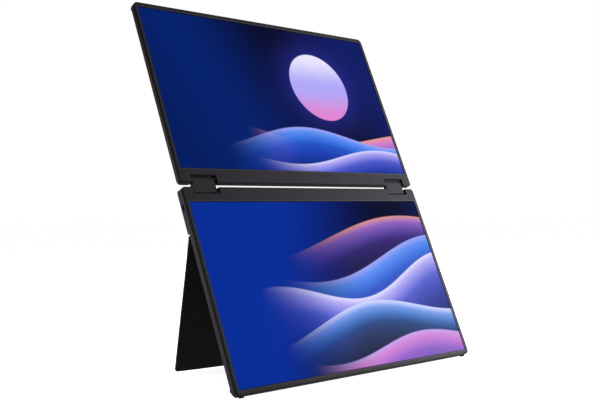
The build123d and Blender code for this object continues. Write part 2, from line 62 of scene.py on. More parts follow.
# The curve of a display's values: straight up to its toe, and a power past it.
FULL_CHANNEL = 255.0
CURVE_TOE = 0.04045
CURVE_SLOPE = 12.92
CURVE_OFFSET = 0.055
CURVE_POWER = 2.4

# A ramp with more stops than this follows a spline.
EASED_STOPS = 3

Colour = tuple[float, float, float]
Linear = tuple[float, float, float, float]
Point = tuple[float, float, float]
Socket = bpy.types.NodeSocket
Value = Socket | float
Place = dict[str, Socket]

# Painted shade: a dark colour laid where shade falls, on the bezels' walls, the covers' walls at the gap and the
# ledges in the notches.
PAINTED_SHADE: Colour = (30, 29, 31)
FULL_WHITE: Linear = (1.0, 1.0, 1.0, 1.0)
UNSCALED: Point = (1.0, 1.0, 1.0)


class Screen(Enum):
    """The two screens of the monitor."""

    LOWER = "lower"
    UPPER = "upper"


class Side(Enum):
    """The two sides of the monitor, as its user sees them."""

    LEFT = -1
    RIGHT = 1


class Pick(Enum):
    """What is picked on a mesh in edit mode."""

    EDGE = "EDGE"
    FACE = "FACE"


def bend(share: float) -> float:
    """Turns one display value into a linear one.

    Args:
        share: The display value, from 0 to 1.

    Returns:
        The linear value.
    """
    if share <= CURVE_TOE:
        return share / CURVE_SLOPE
    return ((share + CURVE_OFFSET) / (1.0 + CURVE_OFFSET)) ** CURVE_POWER


def linear(colour: Colour) -> Linear:
    """Turns a display colour from 0 to 255 into the opaque linear one that shaders take."""
    red, green, blue = (bend(channel / FULL_CHANNEL) for channel in colour)
    return (red, green, blue, 1.0)


def joint_row(name: str) -> dict:
    """Finds a joint of the frame by its name."""
    return next(row for row in frame["joints"] if row["name"] == name)


def joint_place(name: str) -> Vector:
    """Gives where a joint turns, in the row frame and in metres."""
    return Vector(joint_row(name)["pos_m"])


def joint_start(name: str) -> float:
    """Gives the lower end of a hinge's range, in radians."""
    return math.radians(joint_row(name)["range_deg"][0])


@dataclass(frozen=True)
class PanelFrame:
    """The leaned plane of the screens: X across, Y into the screen, Z up along it, in metres."""

    lean: float = math.radians(24.4)
    pivot_depth: float = 3.9 * MM
    pivot_height: float = 192.7 * MM

    def turn(self) -> Matrix:
        """Gives the turn from the upright screen to the leaning one."""
        return Matrix.Rotation(-self.lean, 4, "X")

    def matrix(self) -> Matrix:
        """Gives the move from the screen's own plane to the row frame."""
        pivot = self.turn() @ Vector((0.0, self.pivot_depth, self.pivot_height))
        return Matrix.Translation(joint_place("lower_pivot") - pivot) @ self.turn()

    def point(self, across: float, depth: float, height: float) -> Vector:
        """Gives a point of the screen's plane in the row frame.

        Args:
            across: Place to the right of the middle, in metres.
            depth: Place behind the front face, in metres.
            height: Place above the lower edge, in metres.

        Returns:
            The point in the row frame.
        """
        return self.matrix() @ Vector((across, depth, height))

    def edge(self) -> Vector:
        """Gives the middle of the lower front edge in the row frame."""
        return self.point(0.0, 0.0, 0.0)


PANEL = PanelFrame()


class Graph:
    """Node tree of one material, with short calls for the nodes that the finishes share."""

    def __init__(self, name: str) -> None:
        """Makes a material with one Principled shader.

        Args:
            name: The material's name.
        """
        self.material = bpy.data.materials.new(name)
        self.material.use_nodes = True
        self.tree = self.material.node_tree
        self.shader = self.tree.nodes["Principled BSDF"]
        self.coordinates: Socket | None = None

    def node(self, kind: str, **settings: object) -> bpy.types.Node:
        """Adds a node.

        Args:
            kind: Blender's name of the node type.
            settings: Values of the node's own properties.

        Returns:
            The node.
        """
        made = self.tree.nodes.new(kind)
        for key, value in settings.items():
            setattr(made, key, value)
        return made

    def feed(self, target: Socket, source: object) -> None:
        """Links a socket to an input, or sets the input to a plain value.

        Args:
            target: The input.
            source: A socket or a plain value.
        """
        if isinstance(source, bpy.types.NodeSocket):
            self.tree.links.new(source, target)
        else:
            target.default_value = source

    def place(self) -> Socket:
        """Finds the piece's own coordinates.

        Returns:
            The coordinates, in metres.
        """
        if self.coordinates is None:
            self.coordinates = self.node("ShaderNodeTexCoord").outputs["Object"]
        return self.coordinates

    def mapped(self, kind: str, **inputs: object) -> Socket:
        """Moves, turns or stretches the piece's coordinates.

        Args:
            kind: The Mapping node's type.
            inputs: Its Location, Rotation and Scale.

        Returns:
            The new coordinates.
        """
        mapping = self.node("ShaderNodeMapping", vector_type=kind)
        self.feed(mapping.inputs["Vector"], self.place())
        for key, value in inputs.items():
            self.feed(mapping.inputs[key], value)
        return mapping.outputs["Vector"]

    def screen_place(self, corner: Vector, turn: float, scale: Point = UNSCALED) -> Place:
        """Finds a point's place in a frame that is turned about X.

        Args:
            corner: The frame's origin in the row frame.
            turn: Its turn about X.
            scale: Its unit along each axis, in metres.

        Returns:
            The point's X, Y and Z.
        """
        spread = self.mapped("TEXTURE", Location=corner, Rotation=(turn, 0.0, 0.0), Scale=scale)
        split = self.node("ShaderNodeSeparateXYZ")
        self.feed(split.inputs["Vector"], spread)
        return {axis: split.outputs[axis] for axis in "XYZ"}

    def math(
        self, operation: str, first: Value, second: Value = 0.0, clamp: bool = False
    ) -> Socket:
        """Works out one or two values.

        Args:
            operation: Blender's name of what is done.
            first: First value.
            second: Second value.
            clamp: Whether the result is kept from 0 to 1.

        Returns:
            The result.
        """
        made = self.node("ShaderNodeMath", operation=operation, use_clamp=clamp)
        self.feed(made.inputs[0], first)
        self.feed(made.inputs[1], second)
        return made.outputs["Value"]

    def plus(self, first: Value, second: Value) -> Socket:
        """Adds two values."""
        return self.math("ADD", first, second)

    def minus(self, first: Value, second: Value) -> Socket:
        """Takes the second value from the first."""
        return self.math("SUBTRACT", first, second)

    def times(self, first: Value, second: Value) -> Socket:
        """Multiplies two values."""
        return self.math("MULTIPLY", first, second)

    def larger(self, first: Value, second: Value) -> Socket:
        """Takes the larger of two values."""
        return self.math("MAXIMUM", first, second)

    def size(self, value: Value) -> Socket:
        """Drops a value's sign."""
        return self.math("ABSOLUTE", value)

    def rest(self, share: Value) -> Socket:
        """Gives what a share leaves of 1."""
        return self.minus(1.0, share)

    def distance(self, aside: Value, above: Value) -> Socket:
        """Gives the distance to a point that lies so far aside and so far above."""
        squares = [self.math("POWER", side, 2.0) for side in (aside, above)]
        return self.math("SQRT", self.plus(*squares))

    def step(self, value: Value, start: float, end: float) -> Socket:
        """Rises smoothly from 0 to 1 between two values.

        Args:
            value: What is read.
            start: Where the result is 0.
            end: Where the result is 1.

        Returns:
            The result.
        """
        made = self.node("ShaderNodeMapRange", interpolation_type="SMOOTHSTEP")
        self.feed(made.inputs["Value"], value)
        made.inputs["From Min"].default_value = start
        made.inputs["From Max"].default_value = end
        return made.outputs["Result"]

    def fade(self, value: Value, start: float, width: float) -> Socket:
        """Rises smoothly from 0 at the start to 1 a width further on."""
        return self.step(value, start, start + width)

    def between(self, value: Value, low: float, high: float) -> Socket:
        """Spreads a share from 0 to 1 over a range.

        Args:
            value: The share.
            low: Result at 0.
            high: Result at 1.

        Returns:
            The result.
        """
        made = self.node("ShaderNodeMapRange")
        self.feed(made.inputs["Value"], value)
        made.inputs["To Min"].default_value = low
        made.inputs["To Max"].default_value = high
        return made.outputs["Result"]

    def ramp(self, value: Value, stops: list[tuple[float, Colour]]) -> Socket:
        """Colours a value, along a spline where there are many stops.

        Args:
            value: What is read, from 0 to 1.
            stops: Places and their colours, in order.

        Returns:
            The colour.
        """
        made = self.node("ShaderNodeValToRGB")
        made.color_ramp.interpolation = "B_SPLINE" if len(stops) > EASED_STOPS else "EASE"
        elements = made.color_ramp.elements
        while len(elements) < len(stops):
            elements.new(1.0)
        for element, (position, colour) in zip(elements, stops):
            element.position = position
            element.color = linear(colour)
        self.feed(made.inputs["Fac"], value)
        return made.outputs["Color"]

    def mix(self, share: Value, first: object, second: object, blend: str = "MIX") -> Socket:
        """Mixes two colours.

        Args:
            share: How much of the second is taken.
            first: First colour.
            second: Second colour.
            blend: Blender's name of the way to mix.

        Returns:
            The mixed colour.
        """
        made = self.node("ShaderNodeMix", data_type="RGBA", blend_type=blend)
        self.feed(made.inputs["Factor"], share)
        self.feed(made.inputs["A"], first)
        self.feed(made.inputs["B"], second)
        return made.outputs["Result"]

    def noise(self, coordinates: Socket, cloud: float, layers: float = 2.0) -> Socket:
        """Adds cloudy noise.

        Args:
            coordinates: Where it is read.
            cloud: About how large one cloud is.
            layers: How many finer layers it has.

        Returns:
            A value from 0 to 1.
        """
        made = self.node("ShaderNodeTexNoise")
        self.feed(made.inputs["Vector"], coordinates)
        made.inputs["Scale"].default_value = 1.0 / cloud
        made.inputs["Detail"].default_value = layers
        return made.outputs["Fac"]

    def relief(self, height: Socket, distance: float) -> None:
        """Presses a height into the surface.

        Args:
            height: What is pressed, from 0 to 1.
            distance: Its full depth in metres.
        """
        made = self.node("ShaderNodeBump")
        made.inputs["Strength"].default_value = 1.0
        made.inputs["Distance"].default_value = distance
        self.feed(made.inputs["Height"], height)
        self.feed(self.shader.inputs["Normal"], made.outputs["Normal"])

    def set(self, **values: object) -> None:
        """Feeds the shader's inputs, with underscores for the spaces of their names.

        Args:
            values: A socket or plain value for each input.
        """
        for key, value in values.items():
            self.feed(self.shader.inputs[key.replace("_", " ")], value)


@dataclass(frozen=True)
class Finish(ABC):
    """One finish of the monitor, which lays its own nodes."""

    name: str

    @abstractmethod
    def lay(self, graph: Graph) -> None:
        """Lays the finish's nodes.

        Args:
            graph: The material's nodes.
        """

    def material(self) -> bpy.types.Material:
        """Builds the finish.

        Returns:
            Its material.
        """
        graph = Graph(self.name)
        self.lay(graph)
        return graph.material


@dataclass(frozen=True)
class ScreenOutline:
    """Outline of each screen in the leaned plane; the upper one mirrors the lower one."""

    half_width: float = 159.45 * MM
    height: float = 195.1 * MM
    half_gap: float = 2.0 * MM
    corner: float = 4.4 * MM
    side_bezel: float = 3.9 * MM
    outer_bezel: float = 4.7 * MM
    hinge_bezel: float = 14.9 * MM
    notch_middle: float = 131.85 * MM
    notch_half: float = 14.5 * MM
    lower_notch: float = 6.6 * MM
    upper_notch: float = 8.0 * MM

    def place(self, graph: Graph) -> Place:
        """Finds a point's place in the leaned plane.

        Args:
            graph: The material's nodes.

        Returns:
            Its distance from the middle as X, its depth as Y, its distance from the gap's
            middle as Z, and the depth of its screen's hinge notches as notch.
        """
        place = graph.screen_place(PANEL.edge(), -PANEL.lean)
        climb = graph.minus(place["Z"], self.height + self.half_gap)
        upper = graph.math("GREATER_THAN", climb)
        return {
            "X": graph.size(place["X"]),
            "Y": place["Y"],
            "Z": graph.size(climb),
            "notch": graph.between(upper, self.lower_notch, self.upper_notch),
        }

    def inset(self, graph: Graph, place: Place) -> Socket:
        """Finds how far inside the outline, with its round corners, a point is.

        Args:
            graph: The material's nodes.
            place: The point's place, as the method place gives it.

        Returns:
            The distance in metres.
        """
        half_height = self.height / 2
        climb = graph.minus(place["Z"], self.half_gap + half_height)
        aside = graph.minus(place["X"], self.half_width - self.corner)
        above = graph.minus(graph.size(climb), half_height - self.corner)
        round_part = graph.distance(graph.larger(aside, 0.0), graph.larger(above, 0.0))
        flat_part = graph.math("MINIMUM", graph.larger(aside, above), 0.0)
        return graph.minus(self.corner, graph.plus(round_part, flat_part))

    def from_notch(self, graph: Graph, place: Place) -> Socket:
        """Finds how far a point of the bezel is from the nearest hinge notch.

        Args:
            graph: The material's nodes.
            place: The point's place, as the method place gives it.

        Returns:
            The distance in metres.
        """
        along = graph.size(graph.minus(place["X"], self.notch_middle))
        aside = graph.minus(along, self.notch_half)
        above = graph.minus(graph.minus(place["Z"], self.half_gap), place["notch"])
        return graph.larger(aside, above)

    def from_glass(self, graph: Graph, place: Place) -> Socket:
        """Finds how far a point of the bezel is from the glass.

        Args:
            graph: The material's nodes.
            place: The point's place, as the method place gives it.

        Returns:
            The distance in metres.
        """
        aside = graph.minus(place["X"], self.half_width - self.side_bezel)
        outer = graph.minus(place["Z"], self.half_gap + self.height - self.outer_bezel)
        hinge = graph.minus(self.half_gap + self.hinge_bezel, place["Z"])
        return graph.larger(aside, graph.larger(outer, hinge))


OUTLINE = ScreenOutline()


@dataclass(frozen=True)
class MouldedPlastic(Finish):
    """Dark plastic from a spark-eroded mould: fine grain, faint clouds, polished high spots."""

    colour: Colour
    worn: Colour
    grain: float = 0.35 * MM
    grain_depth: float = 0.012 * MM
    grain_layers: float = 3.0
    cloud_grains: float = 60.0
    least_wear: float = 0.6
    smooth: float = 0.5
    rough: float = 0.65
    gloss: float = 0.02

    def tone(self, graph: Graph, grain: Socket) -> Socket:
        """Mixes the plain colour with the worn one.

        Args:
            graph: The material's nodes.
            grain: The grain's height.

        Returns:
            The colour.
        """
        clouds = graph.noise(graph.place(), self.cloud_grains * self.grain)
        wear = graph.times(clouds, graph.between(grain, self.least_wear, 1.0))
        return graph.mix(wear, linear(self.colour), linear(self.worn))

    def lay(self, graph: Graph) -> None:
        """Lays the grain and the colour.

        Args:
            graph: The material's nodes.
        """
        grain = graph.noise(graph.place(), self.grain, self.grain_layers)
        graph.set(
            Base_Color=self.tone(graph, grain),
            Roughness=graph.between(grain, self.rough, self.smooth),
            Specular_IOR_Level=self.gloss,
        )
        graph.relief(grain, self.grain_depth)


@dataclass(frozen=True)
class FramePlastic(MouldedPlastic):
    """The bezels' plastic: a face with a painted highlight round the glass, and painted shade on a rim along the
    outer edge, round the notches and on the walls.
    """

    # Painted shade on the walls behind the face, between the two depths below, and on a rim along the outer edge
    # and round the notches.
    painted_shade: Colour = PAINTED_SHADE
    face_depth: float = 0.1 * MM
    wall_shade_depth: float = 0.5 * MM
    rim_shade: float = 0.8 * MM
    notch_rim_shade: float = 0.4 * MM
    rim_shade_fade: float = 0.5 * MM
    # Painted highlight: a lighter band on the face next to the glass, with its width and fade.
    lip_highlight: Colour = (69, 69, 74)
    highlight_band: float = 0.6 * MM
    highlight_fade: float = 0.9 * MM

    def tone(self, graph: Graph, grain: Socket) -> Socket:
        """Paints the highlight round the glass, and the shade on the rim, round the notches and on the walls, over
        the plastic's colour.

        Args:
            graph: The material's nodes.
            grain: The grain's height.

        Returns:
            The colour.
        """
        place = OUTLINE.place(graph)
        # Masks of the painted shade on the rim and round the notches, of the painted highlight next to the glass,
        # and of the painted shade on the walls.
        inner = graph.fade(OUTLINE.inset(graph, place), self.rim_shade, self.rim_shade_fade)
        clear = graph.fade(OUTLINE.from_notch(graph, place), self.notch_rim_shade, self.rim_shade_fade)
        outer = graph.fade(OUTLINE.from_glass(graph, place), self.highlight_band, self.highlight_fade)
        front = graph.rest(graph.step(place["Y"], self.face_depth, self.wall_shade_depth))
        face = graph.mix(outer, linear(self.lip_highlight), super().tone(graph, grain))
        plain = graph.times(front, graph.times(inner, clear))
        return graph.mix(plain, linear(self.painted_shade), face)


@dataclass(frozen=True)
class CoverPlastic(MouldedPlastic):
    """The rear covers' plastic, with painted shade on the walls at the gap and on the ledges in the notches."""

    # Painted shade on the walls at the gap and on the ledges in the notches, with where it starts and fades.
    painted_shade: Colour = PAINTED_SHADE
    edge: float = 0.15 * MM
    edge_shade_fade: float = 0.4 * MM
    seam: float = 2.3 * MM
    notch: float = 8.3 * MM

    def tone(self, graph: Graph, grain: Socket) -> Socket:
        """Paints shade on the walls at the gap and the ledges in the notches.

        Args:
            graph: The material's nodes.
            grain: The grain's height.

        Returns:
            The colour.
        """
        place = OUTLINE.place(graph)
        start = OUTLINE.half_gap + self.edge
        away = graph.fade(place["Z"], start, self.edge_shade_fade)
        behind = graph.fade(place["Y"], self.seam, self.edge_shade_fade)
        past_notch = graph.fade(place["Z"], start + self.notch, self.edge_shade_fade)
        # Where this mask is 0 the painted shade covers the plastic.
        plain = graph.times(away, graph.larger(behind, past_notch))
        return graph.mix(plain, linear(self.painted_shade), super().tone(graph, grain))


@dataclass(frozen=True)
class BlastedMetal(Finish):
    """Blasted and anodised or painted sheet: a fine sparkle, faint rolling marks along one axis."""

    colour: Colour
    worn: Colour
    metal: float
    along: Point = (0.02, 1.0, 1.0)
    grain: float = 0.22 * MM
    grain_depth: float = 0.006 * MM
    mark_grains: float = 6.0
    smooth: float = 0.4
    rough: float = 0.55
    gloss: float = 0.02

    def lay(self, graph: Graph) -> None:
        """Lays the sparkle and the rolling marks.

        Args:
            graph: The material's nodes.
        """
        grain = graph.noise(graph.place(), self.grain)
        stretched = graph.mapped("POINT", Scale=self.along)
        marks = graph.noise(stretched, self.mark_grains * self.grain)
        graph.set(
            Base_Color=graph.mix(marks, linear(self.colour), linear(self.worn)),
            Metallic=self.metal,
            Roughness=graph.between(marks, self.smooth, self.rough),
            Specular_IOR_Level=self.gloss,
        )
        graph.relief(grain, self.grain_depth)


@dataclass(frozen=True)
class DullRubber(Finish):
    """Dull black rubber with a pitted skin and a trace of dust."""

    colour: Colour = (22, 22, 23)
    dust: Colour = (44, 43, 42)
    pit: float = 0.5 * MM
    pit_depth: float = 0.03 * MM
    pit_layers: float = 4.0
    dust_pits: float = 14.0
    dust_layers: float = 3.0
    dust_from: float = 0.5
    dust_to: float = 0.8
    smooth: float = 0.75
    rough: float = 0.95
    gloss: float = 0.1

    def lay(self, graph: Graph) -> None:
        """Lays the pits and the dust.

        Args:
            graph: The material's nodes.
        """
        pits = graph.noise(graph.place(), self.pit, self.pit_layers)
        patches = graph.noise(graph.place(), self.dust_pits * self.pit, self.dust_layers)
        dust = graph.step(patches, self.dust_from, self.dust_to)
        graph.set(
            Base_Color=graph.mix(dust, linear(self.colour), linear(self.dust)),
            Roughness=graph.between(pits, self.rough, self.smooth),
            Specular_IOR_Level=self.gloss,
        )
        graph.relief(pits, self.pit_depth)


@dataclass(frozen=True)
class TurnedMetal(Finish):
    """Bare or plated metal with fine tool marks and faint staining."""

    colour: Colour
    stain: Colour
    along: Point = (0.12, 1.0, 1.0)
    mark: float = 0.12 * MM
    mark_depth: float = 0.003 * MM
    stain_marks: float = 20.0
    stain_layers: float = 3.0
    stain_from: float = 0.4
    stain_to: float = 0.8
    smooth: float = 0.22
    rough: float = 0.42

    def lay(self, graph: Graph) -> None:
        """Lays the tool marks and the stains.

        Args:
            graph: The material's nodes.
        """
        marks = graph.noise(graph.mapped("POINT", Scale=self.along), self.mark)
        patches = graph.noise(graph.place(), self.stain_marks * self.mark, self.stain_layers)
        stain = graph.step(patches, self.stain_from, self.stain_to)
        graph.set(
            Base_Color=graph.mix(stain, linear(self.colour), linear(self.stain)),
            Metallic=1.0,
            Roughness=graph.between(marks, self.smooth, self.rough),
        )
        graph.relief(marks, self.mark_depth)


@dataclass(frozen=True)
class SolderMask(Finish):
    """Circuit board under its solder mask, with raised copper tracks and tinned pads."""

    mask: Colour = (14, 46, 34)
    track: Colour = (28, 78, 52)
    pad: Colour = (170, 160, 130)
    cell: float = 1.6 * MM
    track_depth: float = 0.03 * MM
    track_from: float = 0.42
    track_to: float = 0.5
    pad_from: float = 0.08
    pad_to: float = 0.13
    pad_metal: float = 0.9
    pad_smooth: float = 0.25
    rough: float = 0.35

    def lay(self, graph: Graph) -> None:
        """Lays the mask, the tracks and the pads.

        Args:
            graph: The material's nodes.
        """
        cells = graph.node("ShaderNodeTexVoronoi", distance="MANHATTAN", feature="F1")
        graph.feed(cells.inputs["Vector"], graph.place())
        cells.inputs["Scale"].default_value = 1.0 / self.cell
        reach = cells.outputs["Distance"]
        tracks = graph.step(reach, self.track_from, self.track_to)
        pads = graph.rest(graph.step(reach, self.pad_from, self.pad_to))
        board = graph.mix(tracks, linear(self.mask), linear(self.track))
        graph.set(
            Base_Color=graph.mix(pads, board, linear(self.pad)),
            Metallic=graph.times(pads, self.pad_metal),
            Roughness=graph.between(pads, self.rough, self.pad_smooth),
        )
        graph.relief(graph.plus(tracks, pads), self.track_depth)


@dataclass(frozen=True)
class DisplayLaminate(Finish):
    """Back of the display: black film with a faint cell weave."""

    film: Colour = (10, 10, 12)
    weave: Colour = (24, 24, 30)
    across: Point = (1.0, 0.2, 1.0)
    cell: float = 0.9 * MM
    cell_layers: float = 1.0
    weave_depth: float = 0.002 * MM
    smooth: float = 0.2
    rough: float = 0.35

    def lay(self, graph: Graph) -> None:
        """Lays the film and its weave.

        Args:
            graph: The material's nodes.
        """
        stretched = graph.mapped("POINT", Scale=self.across)
        weave = graph.noise(stretched, self.cell, self.cell_layers)
        graph.set(
            Base_Color=graph.mix(weave, linear(self.film), linear(self.weave)),
            Roughness=graph.between(weave, self.smooth, self.rough),
        )
        graph.relief(weave, self.weave_depth)


@dataclass(frozen=True)
class Hill:
    """One hill of the picture; its lengths are shares of the screen's width or height."""

    level: float
    slope: float
    swing: float
    waves: float
    phase: float
    reach: float
    lit_from: float
    lit_to: float
    shades: tuple[Colour, Colour, Colour, Colour]


@dataclass(frozen=True)
class Moon:
    """The picture's disc and the glow round it; its lengths are shares of the screen's height."""

    across: float
    height: float
    radius: float
    glow: float
    top: Colour
    middle: Colour
    bottom: Colour
    halo: Colour


@dataclass(frozen=True)
class LitScreen(Finish):
    """Glass over a lit picture of hills under a moon, with a black border round the lit area."""

    low_edge: float
    sky: tuple[tuple[float, Colour], ...]
    sky_tilt: float
    hills: tuple[Hill, ...]
    moon: Moon | None = None
    width: float = 309.9 * MM
    height: float = 174.3 * MM
    moon_edge: float = 0.004
    crest_edge: float = 0.008
    flank_stops: tuple[float, float, float, float] = (0.0, 0.1, 0.34, 1.0)
    border_colour: Colour = (0, 0, 0)
    glass_depth: float = 0.6 * MM
    glass: Colour = (6, 6, 8)
    smeared: Colour = (10, 10, 12)
    smear: float = 25.0 * MM
    smear_layers: float = 3.0
    gloss: float = 0.006
    smooth: float = 0.16
    smear_rough: float = 0.05

    def lit_place(self, graph: Graph) -> Place:
        """Finds the place on the lit area.

        Args:
            graph: The material's nodes.

        Returns:
            The share of its width as X and that of its height as Y.
        """
        corner = PANEL.point(-self.width / 2, self.glass_depth, self.low_edge)
        scale = (self.width, self.height, 1.0)
        return graph.screen_place(corner, QUARTER_TURN - PANEL.lean, scale)

    def add_moon(self, graph: Graph, moon: Moon, place: Place, below: Socket) -> Socket:
        """Lays the moon and its glow over the sky.

        Args:
            graph: The material's nodes.
            moon: The moon.
            place: The place on the lit area.
            below: The sky's colour.

        Returns:
            The colour with the moon.
        """
        aside = graph.times(graph.minus(place["X"], moon.across), self.width / self.height)
        above = graph.minus(place["Y"], moon.height)
        away = graph.distance(aside, above)
        halo = graph.math("POWER", graph.rest(graph.step(away, 0.0, moon.glow)), 2.0)
        glowing = graph.mix(halo, below, linear(moon.halo), "ADD")
        rise = graph.math("DIVIDE", above, 2.0 * moon.radius)
        shades = [(0.0, moon.bottom), (MIDDLE, moon.middle), (1.0, moon.top)]
        face = graph.ramp(graph.math("ADD", rise, MIDDLE, clamp=True), shades)
        outside = graph.step(away, moon.radius - self.moon_edge, moon.radius + self.moon_edge)
        return graph.mix(graph.rest(outside), glowing, face)

    def add_hill(self, graph: Graph, hill: Hill, place: Place, below: Socket) -> Socket:
        """Lays one hill over what is behind it.

        Args:
            graph: The material's nodes.
            hill: The hill.
            place: The place on the lit area.
            below: The colour behind it.

        Returns:
            The colour with the hill.
        """
        turns = graph.plus(graph.times(place["X"], hill.waves), hill.phase)
        wave = graph.math("SINE", graph.times(turns, math.tau))
        lift = graph.plus(graph.times(place["X"], hill.slope), hill.level)
        crest = graph.plus(lift, graph.times(wave, hill.swing))
        depth = graph.minus(crest, place["Y"])
        lit = graph.step(place["X"], hill.lit_from, hill.lit_to)
        cover = graph.times(graph.step(depth, 0.0, self.crest_edge), lit)
        shades = list(zip(self.flank_stops, hill.shades))
        flank = graph.ramp(graph.math("DIVIDE", depth, hill.reach, clamp=True), shades)
        return graph.mix(cover, below, flank)

    def border(self, graph: Graph, place: Place) -> Socket:
        """Tells the lit area from its border.

        Args:
            graph: The material's nodes.
            place: The place on the lit area.

        Returns:
            1 on the lit area and 0 on the border.
        """
        inside = [
            graph.times(graph.math("GREATER_THAN", share), graph.math("LESS_THAN", share, 1.0))
            for share in (place["X"], place["Y"])
        ]
        return graph.times(*inside)

    def lay(self, graph: Graph) -> None:
        """Lays the picture behind its glass.

        Args:
            graph: The material's nodes.
        """
        place = self.lit_place(graph)
        tilt = graph.times(graph.minus(place["Y"], MIDDLE), self.sky_tilt)
        colour = graph.ramp(graph.math("ADD", place["X"], tilt, clamp=True), list(self.sky))
        if self.moon is not None:
            colour = self.add_moon(graph, self.moon, place, colour)
        for hill in self.hills:
            colour = self.add_hill(graph, hill, place, colour)
        smears = graph.noise(graph.place(), self.smear, self.smear_layers)
        lit = self.border(graph, place)
        graph.set(
            Base_Color=graph.mix(smears, linear(self.glass), linear(self.smeared)),
            Roughness=graph.between(smears, self.smooth, self.smooth + self.smear_rough),
            Specular_IOR_Level=self.gloss,
            Emission_Color=graph.mix(lit, linear(self.border_colour), colour),
            Emission_Strength=1.0,
        )


class Workbench:
    """Modelling calls that the detail pieces share; each acts on one active object."""

    MERGE = 0.0005 * MM
    SMOOTH_ANGLE = math.radians(30.0)

    @staticmethod
    def clear() -> None:
        """Leaves edit mode and deselects everything."""
        if bpy.context.mode != "OBJECT":
            bpy.ops.object.mode_set(mode="OBJECT")
        bpy.ops.object.select_all(action="DESELECT")

    @staticmethod
    def block(name: str, size: Vector, centre: Vector) -> bpy.types.Object:
        """Adds a block.

        Args:
            name: The object's name.
            size: Its size along each axis.
            centre: Its middle.

        Returns:
            The block, selected and active, with its place in its mesh.
        """
        Workbench.clear()
        bpy.ops.mesh.primitive_cube_add(size=1.0, location=centre, scale=size)
        made = bpy.context.object
        made.name = name
        bpy.ops.object.transform_apply(location=True, rotation=True, scale=True)
        return made

    @staticmethod
    def deselect(kind: Pick) -> None:
        """Deselects the active object's mesh and sets what is picked on it.

        Args:
            kind: What is picked next.
        """
        bpy.ops.object.mode_set(mode="EDIT")
        bpy.ops.mesh.select_mode(type=kind.value)
        bpy.ops.mesh.select_all(action="DESELECT")
        bpy.ops.object.mode_set(mode="OBJECT")

    @staticmethod
    def round_edges(radius: float, segments: int) -> None:
        """Rounds every edge of the active object.

        Args:
            radius: The rounding's radius.
            segments: Its number of steps.
        """
        bpy.ops.object.mode_set(mode="EDIT")
        bpy.ops.mesh.select_all(action="SELECT")
        bpy.ops.mesh.bevel(offset=radius, segments=segments, affect="EDGES")
        bpy.ops.object.mode_set(mode="OBJECT")

    @staticmethod
    def repeat(made: bpy.types.Object, count: int, step: Vector) -> None:
        """Repeats a piece in a row and keeps the result.

        Args:
            made: The piece.
            count: How many there are in all.
            step: From one to the next.
        """
        row = made.modifiers.new("row", "ARRAY")
        row.count = count
        row.use_relative_offset = False
        row.use_constant_offset = True
        row.constant_offset_displace = step
        bpy.context.view_layer.objects.active = made
        bpy.ops.object.modifier_apply(modifier=row.name)

    @staticmethod
    def join(first: bpy.types.Object, *others: bpy.types.Object) -> bpy.types.Object:
        """Joins pieces into the first.

        Args:
            first: The piece that stays.
            others: The pieces that go into it.

        Returns:
            The joined piece.
        """
        Workbench.clear()
        for piece in (first, *others):
            piece.select_set(True)
        bpy.context.view_layer.objects.active = first
        bpy.ops.object.join()
        return first

    @staticmethod
    def settle(made: bpy.types.Object, place: Matrix) -> None:
        """Puts a piece in its place, with the place in its mesh, and shades it.

        Args:
            made: The piece, at the origin.
            place: Where it goes in the row frame.
        """
        Workbench.clear()
        made.select_set(True)
        bpy.context.view_layer.objects.active = made
        made.matrix_world = place
        bpy.ops.object.transform_apply(location=True, rotation=True, scale=True)
        bpy.ops.object.mode_set(mode="EDIT")
        bpy.ops.mesh.select_all(action="SELECT")
        bpy.ops.mesh.remove_doubles(threshold=Workbench.MERGE)
        bpy.ops.mesh.normals_make_consistent(inside=False)
        bpy.ops.object.mode_set(mode="OBJECT")
        bpy.ops.object.shade_smooth_by_angle(angle=Workbench.SMOOTH_ANGLE)


def dress(node: str, finish: bpy.types.Material) -> None:
    """Gives a CAD node its finish.

    Args:
        node: The node's name.
        finish: The material.
    """
    piece = frame["nodes"][node]
    if not piece.material_slots:
        piece.data.materials.append(finish)
    for slot in piece.material_slots:
        slot.material = finish
    LOG.info("dressed %s", node)


def add_piece(made: bpy.types.Object, body: str, finish: bpy.types.Material) -> None:
    """Fixes a new piece to its body and gives it its finish.

    Args:
        made: The piece, in place.
        body: The CAD body that it rides on.
        finish: The material.
    """
    made.data.materials.clear()
    made.data.materials.append(finish)
    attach(made, body)
    LOG.info("made %s", made.name)


@dataclass
class SocketContacts:
    """Plated contact fingers on both faces of a socket's tongue."""

    node: str
    side: Side
    count: int
    pitch: float
    tip: float = 1.9 * MM
    length: float = 4.2 * MM
    width_share: float = 0.55
    thickness: float = 0.06 * MM
    tongue: float = 0.7 * MM
    edge_steps: int = 2

    def build(self) -> bpy.types.Object:
        """Models the fingers in the socket.

        Returns:
            The fingers, in place.
        """
        low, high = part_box(self.node)
        middle = (low + high) / 2
        mouth = low.x if self.side is Side.LEFT else high.x
        inward = -self.side.value * (self.tip + self.length / 2)
        depth = self.tongue + 2 * self.thickness
        size = Vector((self.length, depth, self.pitch * self.width_share))
        first = Vector((0.0, 0.0, -self.pitch * (self.count - 1) / 2))
        made = Workbench.block(self.node + "_contacts", size, first)
        Workbench.round_edges(self.thickness / 2, self.edge_steps)
        Workbench.repeat(made, self.count, Vector((0.0, 0.0, self.pitch)))
        place = Matrix.Translation((mouth + inward, middle.y, middle.z)) @ PANEL.turn()
        Workbench.settle(made, place)
        return made


